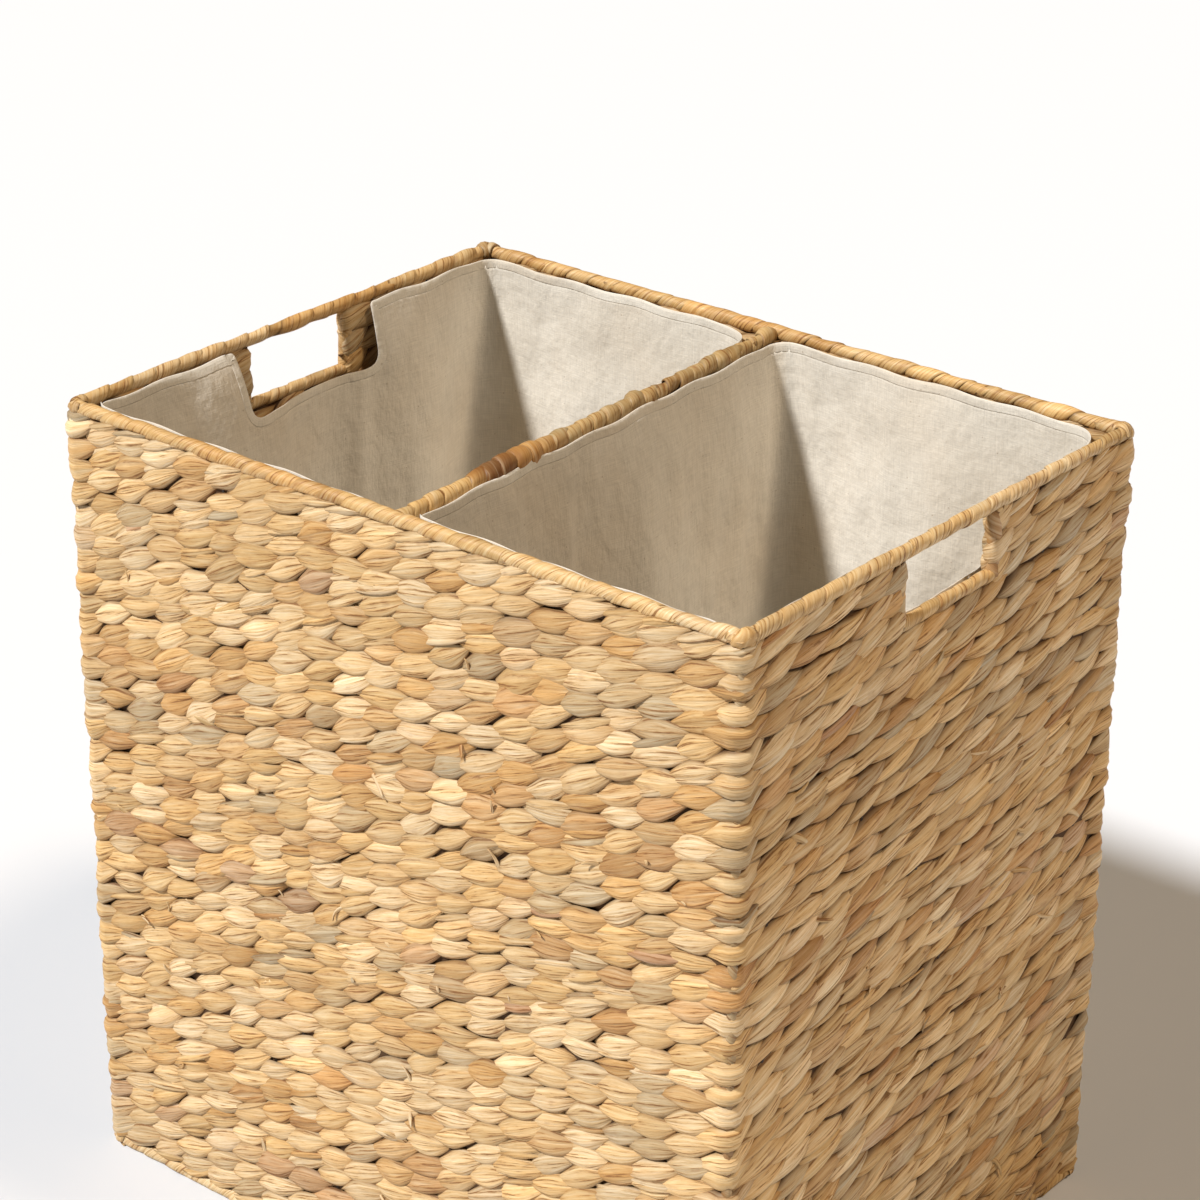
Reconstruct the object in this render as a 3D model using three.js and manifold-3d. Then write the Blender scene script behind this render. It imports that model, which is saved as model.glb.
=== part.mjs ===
// Rectangular two-compartment laundry basket: hyacinth weave on a welded steel frame, with two cloth liners.
// Millimetres, +Z up. Origin: centre of the footprint, on the surface that the basket stands on.
// +X points to one hand-hole wall, -Y to one of the two wide walls.

import * as THREE from 'three';
import { mergeVertices } from 'three/addons/utils/BufferGeometryUtils.js';
import Module from 'manifold-3d';

const wasm = await Module();
wasm.setup();

// ---------------------------------------------------------------- driving dimensions

const outerWidth = 600;          // along X, over the weave
const outerDepth = 450;          // along Y, over the weave
const overallHeight = 620;

const fitGap = 0.3;              // between pieces that touch
const frameRodRadius = 2.5;      // rim, base, corner, handle and divider rods
const stakeRadius = 1;           // upright wires that the strands are twined round
const gridWireRadius = 1.5;      // wires of the bottom grid

const edgeWrapRadius = 5;        // wrapped rim, and wrapped lower edge
const handleWrapRadius = 4.5;    // wrapped bar under the hand hole
const dividerWrapRadius = 6;
const weaveThickness = 12;
const bottomWeaveThickness = 8;

const wideWallBays = 20;         // spaces between uprights, corner posts included
const handleWallBays = 13;
const handlePostY = 55;          // centrelines of the hand hole's posts, from the wall's middle
const handleOpeningHeight = 42;

const dividerFrontX = 13;        // the divider was welded in a little askew
const dividerBackX = -9;
const dividerDrop = 1.5;         // its centreline lies this much below the rim's

const bottomGridSpacing = 98;
const gridLayerOffset = 1.2;     // the grid's two layers lie this far under and over its middle
const linerThickness = 1.5;
const linerClearance = 1.5;      // to the weave and to the wrapped divider
const linerTopBelowRim = 2;      // hem below the rim's centreline

// ---------------------------------------------------------------- places worked out from them

const rimZ = overallHeight - edgeWrapRadius;
const baseZ = edgeWrapRadius;
const rodX = outerWidth / 2 - edgeWrapRadius;
const rodY = outerDepth / 2 - edgeWrapRadius;
const weaveInnerX = outerWidth / 2 - weaveThickness;
const weaveInnerY = outerDepth / 2 - weaveThickness;
const weaveBottomZ = 2 * edgeWrapRadius + fitGap;
const weaveTopZ = overallHeight - 2 * edgeWrapRadius - fitGap;
const buttedRodEndX = rodX - frameRodRadius - fitGap;
const buttedRodEndY = rodY - frameRodRadius - fitGap;
const wrapEndX = outerWidth / 2 - 2 * edgeWrapRadius - fitGap;
const wrapEndY = outerDepth / 2 - 2 * edgeWrapRadius - fitGap;

const wideWallPitch = 2 * rodX / wideWallBays;
const handleWallPitch = 2 * rodY / handleWallBays;
const handleBarTopZ = rimZ - edgeWrapRadius - handleOpeningHeight;
const handleBarZ = handleBarTopZ - handleWrapRadius;
const handleBarEndY = handlePostY + edgeWrapRadius;

const dividerZ = rimZ - dividerDrop;
const linerFloorZ = baseZ + bottomWeaveThickness / 2 + fitGap;
const linerTopZ = rimZ - linerTopBelowRim;
const linerOuterX = weaveInnerX - linerClearance;
const linerOuterY = weaveInnerY - linerClearance;
const linerNotchY = handleBarEndY + linerClearance;
const linerNotchZ = handleBarZ - handleWrapRadius - linerClearance;

// ---------------------------------------------------------------- materials

const steel = { color: 0x4a4643, roughness: 0.55, metalness: 0.85 };
const hyacinth = { color: 0xd6ab6c, roughness: 0.7, metalness: 0 };
const wrappedHyacinth = { color: 0xc79a5c, roughness: 0.65, metalness: 0 };
const cotton = { color: 0xdccfb8, roughness: 0.95, metalness: 0 };

// ---------------------------------------------------------------- solids

/** A closed three.js geometry as a solid that can be cut and joined. */
function toSolid(geometry) {
  geometry.deleteAttribute('normal');
  geometry.deleteAttribute('uv');
  const merged = mergeVertices(geometry);
  return new wasm.Manifold(new wasm.Mesh({
    numProp: 3,
    vertProperties: new Float32Array(merged.attributes.position.array),
    triVerts: new Uint32Array(merged.index.array),
  }));
}

function toGeometry(solid) {
  const mesh = solid.getMesh();
  const geometry = new THREE.BufferGeometry();
  geometry.setAttribute('position', new THREE.BufferAttribute(mesh.vertProperties, 3));
  geometry.setIndex(new THREE.BufferAttribute(mesh.triVerts, 1));
  geometry.computeVertexNormals();
  return geometry;
}

/** Box from its two opposite corners. */
function boxSolid([x0, y0, z0], [x1, y1, z1]) {
  const geometry = new THREE.BoxGeometry(x1 - x0, y1 - y0, z1 - z0);
  geometry.translate((x0 + x1) / 2, (y0 + y1) / 2, (z0 + z1) / 2);
  return toSolid(geometry);
}

/** A straight bar with flat sides. radius is half its width across flats, and flats face the main axes. */
function barSolid({ from, to, radius, sides = 8 }, extra = 0) {
  const start = new THREE.Vector3(...from);
  const end = new THREE.Vector3(...to);
  const direction = end.clone().sub(start).normalize();
  const length = start.distanceTo(end) + 2 * extra;
  const halfSide = Math.PI / sides;
  const cornerRadius = (radius + extra) / Math.cos(halfSide);
  const geometry = new THREE.CylinderGeometry(
    cornerRadius, cornerRadius, length, sides, 1, false, halfSide);
  geometry.applyQuaternion(new THREE.Quaternion().setFromUnitVectors(
    new THREE.Vector3(0, 1, 0), direction));
  const middle = start.add(end).multiplyScalar(0.5);
  geometry.translate(middle.x, middle.y, middle.z);
  return toSolid(geometry);
}

/** A thin wire: a bar of few sides, because there are many. */
function wire(from, to, radius) {
  return { from, to, radius, sides: 4 };
}

/** Bars welded into one piece. */
function weld(bars) {
  return bars.map((bar) => barSolid(bar)).reduce((whole, solid) => whole.add(solid));
}

/** The solid with a square channel cut out for each bar that runs through it. */
function clearOf(solid, bars) {
  return bars.reduce((cut, bar) => cut.subtract(barSolid({ ...bar, sides: 4 }, fitGap)), solid);
}

/** Evenly spaced values, centred on zero. */
function centredRow(count, pitch) {
  return Array.from({ length: count }, (_, i) => (i - (count - 1) / 2) * pitch);
}

// ---------------------------------------------------------------- steel frame, as lists of bars

/** Rim rod, base rod and upright stakes of a wide wall. side is -1 for the front, +1 for the back. */
function wideWallBars(side) {
  const y = side * rodY;
  const end = outerWidth / 2 - frameRodRadius;
  const stakes = centredRow(wideWallBays - 1, wideWallPitch).map(
    (x) => wire([x, y, baseZ], [x, y, rimZ], stakeRadius));
  return [
    { from: [-end, y, rimZ], to: [end, y, rimZ], radius: frameRodRadius },
    { from: [-end, y, baseZ], to: [end, y, baseZ], radius: frameRodRadius },
    ...stakes,
  ];
}

/** Rim rod, base rod, hand-hole bar and posts, and stakes of a hand-hole wall: -1 left, +1 right. */
function handleWallBars(side) {
  const x = side * rodX;
  const stakes = centredRow(handleWallBays - 1, handleWallPitch).map((y) => {
    const top = Math.abs(y) > handlePostY + stakeRadius ? rimZ : handleBarZ;
    return wire([x, y, baseZ], [x, y, top], stakeRadius);
  });
  const posts = [-handlePostY, handlePostY].map((y) => (
    { from: [x, y, handleBarZ], to: [x, y, rimZ], radius: frameRodRadius }));
  const barEnd = handlePostY + frameRodRadius;
  return [
    { from: [x, -buttedRodEndY, rimZ], to: [x, buttedRodEndY, rimZ], radius: frameRodRadius },
    { from: [x, -buttedRodEndY, baseZ], to: [x, buttedRodEndY, baseZ], radius: frameRodRadius },
    { from: [x, -barEnd, handleBarZ], to: [x, barEnd, handleBarZ], radius: frameRodRadius },
    ...posts,
    ...stakes,
  ];
}

function cornerPostBar(sideX, sideY) {
  const x = sideX * rodX;
  const y = sideY * rodY;
  const rodTop = frameRodRadius + fitGap;
  return { from: [x, y, baseZ + rodTop], to: [x, y, rimZ - rodTop], radius: frameRodRadius };
}

/** The divider's centreline at a given y. */
function dividerX(y) {
  return THREE.MathUtils.mapLinear(y, -rodY, rodY, dividerFrontX, dividerBackX);
}

function dividerBar(endY, radius) {
  return { from: [dividerX(-endY), -endY, dividerZ], to: [dividerX(endY), endY, dividerZ], radius };
}

/** Wires across the bottom, the long ones on top of the short ones and welded where they cross. */
function bottomGridBars() {
  const lowZ = baseZ - gridLayerOffset;
  const highZ = baseZ + gridLayerOffset;
  const acrossDepth = centredRow(5, bottomGridSpacing).map(
    (x) => wire([x, -buttedRodEndY, lowZ], [x, buttedRodEndY, lowZ], gridWireRadius));
  const acrossWidth = centredRow(3, bottomGridSpacing).map(
    (y) => wire([-buttedRodEndX, y, highZ], [buttedRodEndX, y, highZ], gridWireRadius));
  return [...acrossDepth, ...acrossWidth];
}

const frontBars = wideWallBars(-1);
const backBars = wideWallBars(1);
const leftBars = handleWallBars(-1);
const rightBars = handleWallBars(1);
const cornerPosts = {
  front_left: cornerPostBar(-1, -1),
  front_right: cornerPostBar(1, -1),
  back_left: cornerPostBar(-1, 1),
  back_right: cornerPostBar(1, 1),
};
const gridBars = bottomGridBars();
const dividerRod = dividerBar(buttedRodEndY, frameRodRadius);
const allBars = [
  ...frontBars, ...backBars, ...leftBars, ...rightBars,
  ...Object.values(cornerPosts), ...gridBars, dividerRod,
];

// ---------------------------------------------------------------- weave

function wideWallWeave(side, wallBars) {
  const outer = side * outerDepth / 2;
  const inner = side * weaveInnerY;
  const slab = boxSolid(
    [-outerWidth / 2, Math.min(inner, outer), weaveBottomZ],
    [outerWidth / 2, Math.max(inner, outer), weaveTopZ]);
  return clearOf(slab, [...wallBars, ...Object.values(cornerPosts)]);
}

function handleWallWeave(side, wallBars) {
  const outer = side * outerWidth / 2;
  const inner = side * weaveInnerX;
  const endY = weaveInnerY - fitGap;
  const slab = boxSolid(
    [Math.min(inner, outer), -endY, weaveBottomZ],
    [Math.max(inner, outer), endY, weaveTopZ]);
  const notchY = handleBarEndY + fitGap;
  const notch = boxSolid(
    [Math.min(inner, outer) - 1, -notchY, handleBarZ - handleWrapRadius - fitGap],
    [Math.max(inner, outer) + 1, notchY, weaveTopZ + 1]);
  return clearOf(slab.subtract(notch), wallBars);
}

function bottomWeave() {
  const halfThickness = bottomWeaveThickness / 2;
  const slab = boxSolid(
    [-wrapEndX, -wrapEndY, baseZ - halfThickness],
    [wrapEndX, wrapEndY, baseZ + halfThickness]);
  return clearOf(slab, gridBars);
}

// ---------------------------------------------------------------- wrapped edges

function wideEdgeWrap(side, z) {
  const bar = {
    from: [-outerWidth / 2, side * rodY, z],
    to: [outerWidth / 2, side * rodY, z],
    radius: edgeWrapRadius,
  };
  return clearOf(barSolid(bar), allBars);
}

function handleWallEdgeWrap(side, z) {
  const bar = {
    from: [side * rodX, -wrapEndY, z],
    to: [side * rodX, wrapEndY, z],
    radius: edgeWrapRadius,
  };
  return clearOf(barSolid(bar), allBars);
}

function handleBarWrap(side, wallBars) {
  const bar = {
    from: [side * rodX, -handleBarEndY, handleBarZ],
    to: [side * rodX, handleBarEndY, handleBarZ],
    radius: handleWrapRadius,
  };
  return clearOf(barSolid(bar), wallBars);
}

function handlePostWrap(side, y, wallBars) {
  const bar = {
    from: [side * rodX, y, handleBarTopZ + fitGap],
    to: [side * rodX, y, rimZ - edgeWrapRadius - fitGap],
    radius: edgeWrapRadius,
  };
  return clearOf(barSolid(bar), wallBars);
}

/** Wrapped divider, its slanting ends trimmed to the walls' inner faces. */
function dividerWrap() {
  const long = barSolid(dividerBar(rodY, dividerWrapRadius));
  const endY = weaveInnerY - fitGap;
  const between = boxSolid(
    [-outerWidth / 2, -endY, dividerZ - 2 * dividerWrapRadius],
    [outerWidth / 2, endY, dividerZ + 2 * dividerWrapRadius]);
  return clearOf(long.intersect(between), [dividerRod]);
}

// ---------------------------------------------------------------- cloth liners

/** Plan of a liner's outside, front divider corner first. side is -1 for the left, +1 for the right. */
function linerPlan(side, inset) {
  const offset = dividerWrapRadius + linerClearance + inset;
  const y = linerOuterY - inset;
  const x = side * (linerOuterX - inset);
  return [
    [dividerX(-y) + side * offset, -y],
    [x, -y],
    [x, y],
    [dividerX(y) + side * offset, y],
  ];
}

/** Outline in plan, extruded from one height to another. */
function prism(outline, fromZ, toZ) {
  const shape = new THREE.Shape(outline.map(([x, y]) => new THREE.Vector2(x, y)));
  const geometry = new THREE.ExtrudeGeometry(shape, { depth: toZ - fromZ, bevelEnabled: false });
  geometry.translate(0, 0, fromZ);
  return toSolid(geometry);
}

/** One upright cloth panel, on the plan's edge from corner i to the next, mitred at both ends. */
function linerPanel(side, i) {
  const outside = linerPlan(side, 0);
  const inside = linerPlan(side, linerThickness);
  const next = (i + 1) % 4;
  const shorten = ([ax, ay], [bx, by]) => {
    const length = Math.hypot(bx - ax, by - ay);
    const step = fitGap / length;
    return [ax + (bx - ax) * step, ay + (by - ay) * step];
  };
  const outline = [
    shorten(outside[i], outside[next]),
    shorten(outside[next], outside[i]),
    shorten(inside[next], inside[i]),
    shorten(inside[i], inside[next]),
  ];
  return prism(outline, linerFloorZ + linerThickness + fitGap, linerTopZ);
}

/** Outer panel, with the cut-out that leaves the hand hole clear. */
function notchedLinerPanel(side) {
  const x = side * linerOuterX;
  const cutOut = boxSolid(
    [x - 2 * linerThickness, -linerNotchY, linerNotchZ],
    [x + 2 * linerThickness, linerNotchY, linerTopZ + 1]);
  return linerPanel(side, 1).subtract(cutOut);
}

function linerBottom(side) {
  return prism(linerPlan(side, 0), linerFloorZ, linerFloorZ + linerThickness);
}

// ---------------------------------------------------------------- assembly

const basket = new THREE.Group();

function addPiece(parent, name, solid, finish) {
  const mesh = new THREE.Mesh(toGeometry(solid), new THREE.MeshStandardMaterial(finish));
  mesh.name = name;
  parent.add(mesh);
}

function addFrame() {
  const frame = new THREE.Group();
  addPiece(frame, 'front_frame', weld(frontBars), steel);
  addPiece(frame, 'back_frame', weld(backBars), steel);
  addPiece(frame, 'left_frame', weld(leftBars), steel);
  addPiece(frame, 'right_frame', weld(rightBars), steel);
  for (const [corner, bar] of Object.entries(cornerPosts)) {
    addPiece(frame, `${corner}_corner_post`, barSolid(bar), steel);
  }
  addPiece(frame, 'divider_rod', barSolid(dividerRod), steel);
  addPiece(frame, 'bottom_grid', weld(gridBars), steel);
  basket.add(frame);
}

function addWeave() {
  const weave = new THREE.Group();
  addPiece(weave, 'front_weave', wideWallWeave(-1, frontBars), hyacinth);
  addPiece(weave, 'back_weave', wideWallWeave(1, backBars), hyacinth);
  addPiece(weave, 'left_weave', handleWallWeave(-1, leftBars), hyacinth);
  addPiece(weave, 'right_weave', handleWallWeave(1, rightBars), hyacinth);
  addPiece(weave, 'bottom_weave', bottomWeave(), hyacinth);
  basket.add(weave);
}

function addWraps() {
  const wraps = new THREE.Group();
  for (const [edge, z] of [['rim_wrap', rimZ], ['lower_edge_wrap', baseZ]]) {
    addPiece(wraps, `front_${edge}`, wideEdgeWrap(-1, z), wrappedHyacinth);
    addPiece(wraps, `back_${edge}`, wideEdgeWrap(1, z), wrappedHyacinth);
    addPiece(wraps, `left_${edge}`, handleWallEdgeWrap(-1, z), wrappedHyacinth);
    addPiece(wraps, `right_${edge}`, handleWallEdgeWrap(1, z), wrappedHyacinth);
  }
  for (const [wall, side, bars] of [['left', -1, leftBars], ['right', 1, rightBars]]) {
    addPiece(wraps, `${wall}_handle_bar_wrap`, handleBarWrap(side, bars), wrappedHyacinth);
    addPiece(wraps, `${wall}_handle_front_post_wrap`,
      handlePostWrap(side, -handlePostY, bars), wrappedHyacinth);
    addPiece(wraps, `${wall}_handle_back_post_wrap`,
      handlePostWrap(side, handlePostY, bars), wrappedHyacinth);
  }
  addPiece(wraps, 'divider_wrap', dividerWrap(), wrappedHyacinth);
  basket.add(wraps);
}

function addLiners() {
  for (const [name, side] of [['left_liner', -1], ['right_liner', 1]]) {
    const liner = new THREE.Group();
    addPiece(liner, `${name}_front_panel`, linerPanel(side, 0), cotton);
    addPiece(liner, `${name}_outer_panel`, notchedLinerPanel(side), cotton);
    addPiece(liner, `${name}_back_panel`, linerPanel(side, 2), cotton);
    addPiece(liner, `${name}_divider_panel`, linerPanel(side, 3), cotton);
    addPiece(liner, `${name}_bottom_panel`, linerBottom(side), cotton);
    basket.add(liner);
  }
}

addFrame();
addWeave();
addWraps();
addLiners();

export default basket;
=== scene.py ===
import itertools
import math

import bpy
import numpy as np
from mathutils import Matrix, Vector


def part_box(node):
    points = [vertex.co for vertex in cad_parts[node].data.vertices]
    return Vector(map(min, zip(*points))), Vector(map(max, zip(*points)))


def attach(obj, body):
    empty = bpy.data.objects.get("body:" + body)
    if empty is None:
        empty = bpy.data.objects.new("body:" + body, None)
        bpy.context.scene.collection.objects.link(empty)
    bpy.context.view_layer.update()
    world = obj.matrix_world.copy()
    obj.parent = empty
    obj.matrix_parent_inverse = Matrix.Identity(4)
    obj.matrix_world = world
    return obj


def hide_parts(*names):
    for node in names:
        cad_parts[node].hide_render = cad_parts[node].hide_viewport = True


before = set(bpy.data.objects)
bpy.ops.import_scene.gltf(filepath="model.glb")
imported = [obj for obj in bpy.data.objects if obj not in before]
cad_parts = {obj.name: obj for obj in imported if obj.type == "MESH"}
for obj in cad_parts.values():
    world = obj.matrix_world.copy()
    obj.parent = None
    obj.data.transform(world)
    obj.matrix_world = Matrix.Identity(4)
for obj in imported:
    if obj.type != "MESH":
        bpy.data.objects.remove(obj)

MM = 0.001
TURN = 2 * math.pi
SIDES = ((-1, "left"), (1, "right"))
ENDS = ((-1, "front"), (1, "back"))
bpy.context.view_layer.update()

# ---------------- sizes read from the frame


def corners_of(node):
    """A node's lowest and highest corner, as two arrays in metres."""
    low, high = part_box(node)
    return np.array(low), np.array(high)


RIM_LOW, RIM_HIGH = corners_of("front_rim_wrap")
WEAVE_LOW, WEAVE_HIGH = corners_of("front_weave")
SIDE_RIM_LOW, SIDE_RIM_HIGH = corners_of("right_rim_wrap")
EDGE_RADIUS = (RIM_HIGH[2] - RIM_LOW[2]) / 2
RIM_Z = (RIM_LOW[2] + RIM_HIGH[2]) / 2
LOWER_EDGE_Z = EDGE_RADIUS
ROD_X = (SIDE_RIM_LOW[0] + SIDE_RIM_HIGH[0]) / 2
ROD_Y = -(RIM_LOW[1] + RIM_HIGH[1]) / 2
HALF_WIDTH = RIM_HIGH[0]
HALF_DEPTH = -RIM_LOW[1]
HALF_THICKNESS = (WEAVE_HIGH[1] - WEAVE_LOW[1]) / 2
WALL_X = HALF_WIDTH - HALF_THICKNESS
WALL_Y = HALF_DEPTH - HALF_THICKNESS

BAR_LOW, BAR_HIGH = corners_of("right_handle_bar_wrap")
BAR_RADIUS = (BAR_HIGH[2] - BAR_LOW[2]) / 2
BAR_Z = (BAR_LOW[2] + BAR_HIGH[2]) / 2
POST_LOW, POST_HIGH = corners_of("right_handle_back_post_wrap")
POST_Y = (POST_LOW[1] + POST_HIGH[1]) / 2

# ---------------- weave sizes

WIDE_WALL_BAYS = 20              # spaces between stakes, corner to corner
HANDLE_WALL_BAYS = 13
COURSES = 35
COURSE_PITCH = (WEAVE_HIGH[2] - WEAVE_LOW[2]) / COURSES
WALL_CORNER_RADIUS = 2.5 * MM    # of the weave's middle line
STITCH_HALF_LENGTH = 27 * MM     # where it turns back round a post, and in the bottom
STITCH_REACH = 0.96              # half the length of a wall's stitches, in bays
STITCH_HALF_HEIGHT = COURSE_PITCH * 0.61
STITCH_TILT = math.radians(20)
HANDLE_WALL_TILT = math.radians(15)
SLIVER_SHARE = 0.22              # of the stitches, that have a second thin strand beside them
SLIVER_WIDTH = 0.42              # as a share of a stitch's
COURSES_PER_BAND = 7
FLAT_SAMPLES = 15                # points along a stitch
CORNER_SAMPLES = 31              # points along a stitch that bends round a corner
INNER_REACH = 0.88               # how far stitches stand out, as shares of those on a wall's outside
BOTTOM_REACH = 0.92
INNER_SHADE = 0.86               # what colours are multiplied by
POST_SHADE = 0.95
BOTTOM_SHADE = 0.9
PAINTED_TIP_SHADE = np.array([0.12, 0.26, 0.46])     # painted shade towards a stitch's tips, where they dive under their neighbours: the share of red, green and blue lost
CORE_HALF_THICKNESS = 1.5 * MM


# ---------------- mesh building


def patch_quads(count, rows, columns):
    """Quads of `count` separate grids of rows x columns points, stored one after another."""
    first = np.arange(rows - 1)[:, None] * columns + np.arange(columns - 1)[None, :]
    quad = np.stack([first, first + 1, first + columns + 1, first + columns], -1).reshape(-1, 4)
    offsets = np.arange(count) * rows * columns
    return (offsets[:, None, None] + quad[None]).reshape(-1, 4)


def add_mesh(name, points, quads, material, values=None):
    """A smooth mesh object. values maps an attribute's name to its value at each point."""
    mesh = bpy.data.meshes.new(name)
    mesh.vertices.add(len(points))
    mesh.vertices.foreach_set("co", np.ascontiguousarray(points, np.float32).ravel())
    mesh.loops.add(quads.size)
    mesh.loops.foreach_set("vertex_index", quads.astype(np.int32).ravel())
    mesh.polygons.add(len(quads))
    mesh.polygons.foreach_set("loop_start", np.arange(0, quads.size, 4, dtype=np.int32))
    mesh.update(calc_edges=True)
    for key, value in (values or {}).items():
        kind, field = ("FLOAT_COLOR", "color") if value.shape[-1] == 4 else ("FLOAT_VECTOR", "vector")
        attribute = mesh.attributes.new(key, kind, "POINT")
        attribute.data.foreach_set(field, np.ascontiguousarray(value, np.float32).ravel())
    mesh.shade_smooth()
    mesh.materials.append(material)
    piece = bpy.data.objects.new(name, mesh)
    bpy.context.scene.collection.objects.link(piece)
    return piece


def place_on(piece, body, slot, *nodes):
    """Makes a piece ride on a body, and stand for CAD nodes."""
    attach(piece, body)
    if nodes:
        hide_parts(*nodes)
    return piece


def add_weave(part, name, points, quads, values):
    """A piece of a wall's or the bottom's stitches."""
    piece = add_mesh(name, points, quads, HYACINTH, values)
    return place_on(piece, "basket", "hyacinth_weave", f"{part}_weave")


def add_core(part, points, quads):
    """The strands' hidden middle, between the two faces, which shows as dark gaps: its dark colour is painted
    shade.
    """
    piece = add_mesh(f"{part}_weave_core", points, quads, CORE)
    piece.data.shade_flat()
    place_on(piece, "basket", "hyacinth_weave", f"{part}_weave")


class Loop:
    """A polygon with rounded corners, measured by the distance s along it from the middle of corner 0.

    radii is one number, or one for each corner.
    """

    STEP = 0.25 * MM

    def __init__(self, corners, radii):
        points = []
        normals = []
        marks = []
        corners = np.array(corners, float)
        count = len(corners)
        radii = np.broadcast_to(radii, count)
        sides = np.roll(corners, -1, axis=0) - corners
        sides /= np.linalg.norm(sides, axis=1, keepdims=True)
        half_turns = np.arccos(np.clip((np.roll(sides, 1, axis=0) * sides).sum(1), -1, 1)) / 2
        cuts = radii * np.tan(half_turns)
        for i, (corner, radius, half_turn) in enumerate(zip(corners, radii, half_turns)):
            before, after = sides[i - 1], sides[i]
            outward = (before - after) / np.linalg.norm(before - after)
            centre = corner - outward * radius / math.cos(half_turn)
            half_steps = max(2, round(radius * half_turn / self.STEP))
            angles = np.linspace(-half_turn, half_turn, 2 * half_steps + 1)
            base = math.atan2(outward[1], outward[0])
            arc = np.stack([np.cos(base + angles), np.sin(base + angles)], -1)
            marks.append(len(points) + half_steps)
            points.extend(centre + radius * arc)
            normals.extend(arc)
            start = corner + after * cuts[i]
            following = (i + 1) % count
            end = corners[following] - after * cuts[following]
            steps = max(2, round(np.linalg.norm(end - start) / self.STEP))
            side = np.array([after[1], -after[0]])
            for share in np.linspace(0, 1, steps)[1:-1]:
                points.append(start + (end - start) * share)
                normals.append(side)
        points = np.roll(points, -marks[0], axis=0)
        normals = np.roll(normals, -marks[0], axis=0)
        self.points = np.vstack([points, points[:1]])
        self.normals = np.vstack([normals, normals[:1]])
        self.s = np.concatenate([[0], np.cumsum(np.linalg.norm(np.diff(self.points, axis=0), axis=1))])
        self.length = self.s[-1]
        self.corner_s = [self.s[mark - marks[0]] for mark in marks] + [self.length]

    def at(self, s):
        """Points and outward normals at distances s, each as an array with a last axis of 2."""
        s = np.mod(s, self.length)
        point = np.stack([np.interp(s, self.s, self.points[:, k]) for k in (0, 1)], -1)
        normal = np.stack([np.interp(s, self.s, self.normals[:, k]) for k in (0, 1)], -1)
        return point, normal / np.linalg.norm(normal, axis=-1, keepdims=True)


def rectangle(half_x, half_y):
    """Corners of a centred rectangle, front left first, anticlockwise from above."""
    return [(-half_x, -half_y), (half_x, -half_y), (half_x, half_y), (-half_x, half_y)]


def wander(seed, s, z, length, waves=6, most=9, rise=4.0):
    """A smooth random field of about -1 to 1 that repeats after `length` along s."""
    rng = np.random.default_rng(seed)
    total = np.zeros(np.broadcast(s, z).shape)
    for _ in range(waves):
        turns = rng.integers(1, most + 1) * rng.choice([-1, 1])
        climb = rng.uniform(-rise, rise)
        total = total + np.sin(TURN * (turns * s / length + climb * z) + rng.uniform(0, TURN))
    return total / math.sqrt(waves) / 1.3


# ---------------- colours


def linear(red, green, blue):
    """An sRGB colour of 0 to 255 as linear values."""
    value = np.array([red, green, blue]) / 255
    return np.where(value <= 0.04045, value / 12.92, ((value + 0.055) / 1.055) ** 2.4)


STRAND_TONES = [                 # colour of a dried strand, and how common it is
    (linear(220, 189, 140), 0.30),
    (linear(213, 178, 123), 0.25),
    (linear(228, 202, 160), 0.20),
    (linear(202, 161, 104), 0.12),
    (linear(194, 171, 133), 0.05),
    (linear(192, 146, 92), 0.04),
    (linear(183, 163, 129), 0.03),
    (linear(188, 150, 114), 0.01),
]


def pick_tones(rng, count):
    colours = np.array([tone for tone, _ in STRAND_TONES])
    shares = np.array([share for _, share in STRAND_TONES])
    return colours[rng.choice(len(colours), count, p=shares / shares.sum())]


def strand_tones(rng, courses, columns):
    """Colour of each stitch. A course's two strands take turns, and each is spliced now and then."""
    tones = np.zeros((courses, columns, 3))
    for course in range(courses):
        for strand in range(2):
            column = strand
            while column < columns:
                run = 2 * rng.integers(2, 9)
                tones[course, column:column + run:2] = pick_tones(rng, 1)[0]
                column += run
    own = pick_tones(rng, courses * columns).reshape(tones.shape)
    share = np.where(rng.random((courses, columns, 1)) < 0.2, 0.8, 0.3)
    tones = tones * (1 - share) + own * share
    return tones * rng.normal(1, 0.07, (courses, columns, 1)).clip(0.8, 1.2)


# ---------------- stitches


def each(values):
    """One value for each patch, shaped to apply to all of its points."""
    return values[:, None, None]


def strand_values(shape, along, across, offset, colours, crease):
    """What the hyacinth materials read at each point, broadcast to a shape.

    along and across are metres on the leaf, offset tells strands apart, and crease sets the painted shade in
    the creases, darker the lower it is.
    """
    fibre = np.stack([np.broadcast_to(value, shape) for value in (along, across, offset)], -1)
    tone = np.concatenate([
        np.broadcast_to(colours, shape + (3,)), np.broadcast_to(crease, shape)[..., None]], -1)
    return {"fibre": fibre.reshape(-1, 3), "tone": tone.reshape(-1, 4)}


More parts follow.
